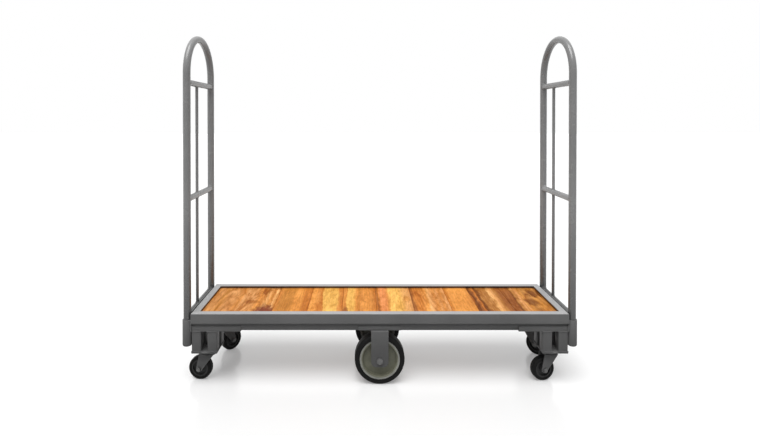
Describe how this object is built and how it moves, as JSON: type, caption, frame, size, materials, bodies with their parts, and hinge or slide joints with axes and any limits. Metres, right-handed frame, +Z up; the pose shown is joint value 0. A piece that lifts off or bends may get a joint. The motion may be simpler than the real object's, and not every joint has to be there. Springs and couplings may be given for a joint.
{
  "type": "u-boat cart",
  "caption": "Long narrow platform cart with a plank deck in a channel frame, a tall lift-out hoop handle at each end, swivel corner casters and larger fixed middle wheels.",
  "frame": {"origin": "on the floor under the middle of the deck", "axes": "+X along the deck to the right as seen in the picture, +Y away from the camera, +Z up"},
  "size_m": [1.6002, 0.3707, 1.434],
  "materials": {
    "frame_paint": "satin grey paint",
    "handle_paint": "satin grey paint",
    "caster_steel": "satin grey paint",
    "caster_hub": "matt",
    "tyre": "matt",
    "centre_core": "painted casting with a bright turned rim",
    "zinc": "zinc plated",
    "washer": "matt",
    "board_wood_01": "satin varnished hardwood",
    "board_wood_02": "satin varnished hardwood",
    "board_wood_03": "satin varnished hardwood",
    "board_wood_04": "satin varnished hardwood",
    "board_wood_05": "satin varnished hardwood",
    "board_wood_06": "satin varnished hardwood",
    "board_wood_07": "satin varnished hardwood",
    "board_wood_08": "satin varnished hardwood",
    "board_wood_09": "satin varnished hardwood",
    "board_wood_10": "satin varnished hardwood"
  },
  "bodies": {
    "frame": {"front_rail": "frame_paint", "rear_rail": "frame_paint", "left_end_rail": "frame_paint", "right_end_rail": "frame_paint", "deck_board_01": "board_wood_01", "deck_board_02": "board_wood_02", "deck_board_03": "board_wood_03", "deck_board_04": "board_wood_04", "deck_board_05": "board_wood_05", "deck_board_06": "board_wood_06", "deck_board_07": "board_wood_07", "deck_board_08": "board_wood_08", "deck_board_09": "board_wood_09", "deck_board_10": "board_wood_10", "front_stringer": "frame_paint", "rear_stringer": "frame_paint", "centre_cross_bearers": "frame_paint", "centre_doubler_bars": "frame_paint", "left_bolster_plate": "frame_paint", "right_bolster_plate": "frame_paint", "left_riser_legs": "frame_paint", "right_riser_legs": "frame_paint", "front_left_socket": "frame_paint", "front_right_socket": "frame_paint", "rear_left_socket": "frame_paint", "rear_right_socket": "frame_paint", "front_left_caster_plate": "caster_steel", "front_right_caster_plate": "caster_steel", "rear_left_caster_plate": "caster_steel", "rear_right_caster_plate": "caster_steel", "caster_kingpins": "zinc", "caster_swivel_washers": "washer", "front_centre_bracket": "frame_paint", "front_centre_axle": "zinc", "rear_centre_bracket": "frame_paint", "rear_centre_axle": "zinc", "centre_bracket_bolts": "zinc"},
    "left_handle": {"left_handle_hoop": "handle_paint", "left_handle_bars": "handle_paint"},
    "right_handle": {"right_handle_hoop": "handle_paint", "right_handle_bars": "handle_paint"},
    "front_left_swivel": {"front_left_caster_fork": "caster_steel", "front_left_caster_axle": "zinc"},
    "front_left_wheel": {"front_left_caster_hub": "caster_hub", "front_left_caster_tyre": "tyre"},
    "front_right_swivel": {"front_right_caster_fork": "caster_steel", "front_right_caster_axle": "zinc"},
    "front_right_wheel": {"front_right_caster_hub": "caster_hub", "front_right_caster_tyre": "tyre"},
    "rear_left_swivel": {"rear_left_caster_fork": "caster_steel", "rear_left_caster_axle": "zinc"},
    "rear_left_wheel": {"rear_left_caster_hub": "caster_hub", "rear_left_caster_tyre": "tyre"},
    "rear_right_swivel": {"rear_right_caster_fork": "caster_steel", "rear_right_caster_axle": "zinc"},
    "rear_right_wheel": {"rear_right_caster_hub": "caster_hub", "rear_right_caster_tyre": "tyre"},
    "front_centre_wheel": {"front_centre_core": "centre_core", "front_centre_tyre": "tyre"},
    "rear_centre_wheel": {"rear_centre_core": "centre_core", "rear_centre_tyre": "tyre"}
  },
  "joints": [
    {"name": "left_handle_lift", "type": "slide", "parent": "frame", "child": "left_handle", "axis": [0, 0, 1], "range_m": [0, 0.13]},
    {"name": "right_handle_lift", "type": "slide", "parent": "frame", "child": "right_handle", "axis": [0, 0, 1], "range_m": [0, 0.13]},
    {"name": "front_left_swivel_turn", "type": "hinge", "parent": "frame", "child": "front_left_swivel", "pos_m": [-0.706, -0.118, 0.111], "axis": [0, 0, 1], "continuous": true},
    {"name": "front_left_wheel_roll", "type": "hinge", "parent": "front_left_swivel", "child": "front_left_wheel", "pos_m": [-0.73987, -0.11504, 0.048], "axis": [0.0872, 0.9962, 0], "continuous": true},
    {"name": "front_right_swivel_turn", "type": "hinge", "parent": "frame", "child": "front_right_swivel", "pos_m": [0.706, -0.118, 0.111], "axis": [0, 0, 1], "continuous": true},
    {"name": "front_right_wheel_roll", "type": "hinge", "parent": "front_right_swivel", "child": "front_right_wheel", "pos_m": [0.67252, -0.1239, 0.048], "axis": [-0.1736, 0.9848, 0], "continuous": true},
    {"name": "rear_left_swivel_turn", "type": "hinge", "parent": "frame", "child": "rear_left_swivel", "pos_m": [-0.706, 0.118, 0.111], "axis": [0, 0, 1], "continuous": true},
    {"name": "rear_left_wheel_roll", "type": "hinge", "parent": "rear_left_swivel", "child": "rear_left_wheel", "pos_m": [-0.68325, 0.14327, 0.048], "axis": [0.7431, -0.6691, 0], "continuous": true},
    {"name": "rear_right_swivel_turn", "type": "hinge", "parent": "frame", "child": "rear_right_swivel", "pos_m": [0.706, 0.118, 0.111], "axis": [0, 0, 1], "continuous": true},
    {"name": "rear_right_wheel_roll", "type": "hinge", "parent": "rear_right_swivel", "child": "rear_right_wheel", "pos_m": [0.73004, 0.09396, 0.048], "axis": [-0.7071, -0.7071, 0], "continuous": true},
    {"name": "front_centre_wheel_roll", "type": "hinge", "parent": "frame", "child": "front_centre_wheel", "pos_m": [0, -0.1425, 0.1016], "axis": [0, 1, 0], "continuous": true},
    {"name": "rear_centre_wheel_roll", "type": "hinge", "parent": "frame", "child": "rear_centre_wheel", "pos_m": [0, 0.1425, 0.1016], "axis": [0, 1, 0], "continuous": true}
  ]
}
